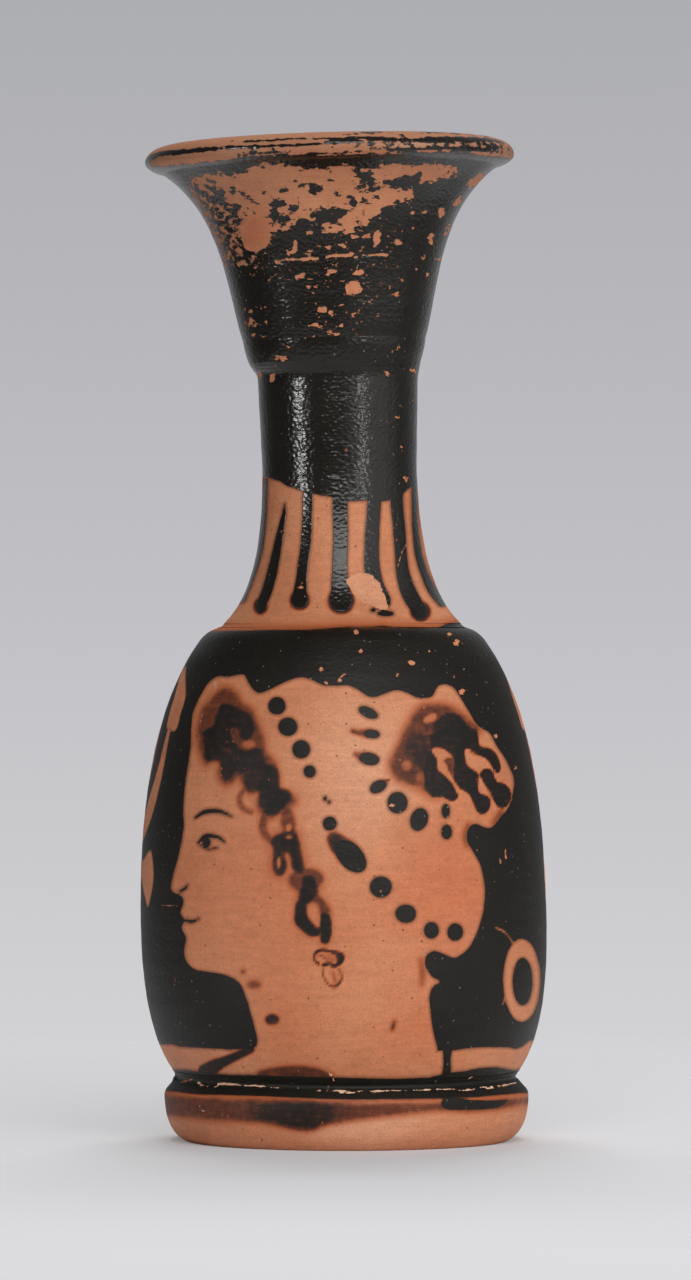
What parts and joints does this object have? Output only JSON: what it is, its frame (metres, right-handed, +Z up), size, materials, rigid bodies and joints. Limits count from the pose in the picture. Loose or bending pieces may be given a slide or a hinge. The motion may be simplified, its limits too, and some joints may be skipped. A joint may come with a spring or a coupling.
{
  "type": "miniature lekythos",
  "caption": "Small ceramic oil flask: ovoid body on a disc foot, slender neck, flaring calyx mouth with a rolled lip and a strap handle behind, painted in black gloss on reserved clay.",
  "frame": {"origin": "on the table, at the centre of the foot", "axes": "+Z up along the axis that the pieces were thrown on, -Y towards the painted front, +Y towards the handle"},
  "size_m": [0.0488, 0.0488, 0.1203],
  "materials": {
    "black_gloss": "black iron gloss brushed over orange clay, worn through in flakes at the mouth, with ornament left in bare clay",
    "reserved_clay": "fine orange fired clay, wheel-smoothed and matt, with a thin brown wash",
    "luting_slip": "liquid clay fired in the joints between the thrown pieces"
  },
  "bodies": {
    "root": {"foot": "reserved_clay", "foot_slip": "luting_slip", "body": "black_gloss", "neck_slip": "luting_slip", "neck": "black_gloss", "mouth_slip": "luting_slip", "mouth": "black_gloss", "handle": "black_gloss"}
  },
  "joints": []
}
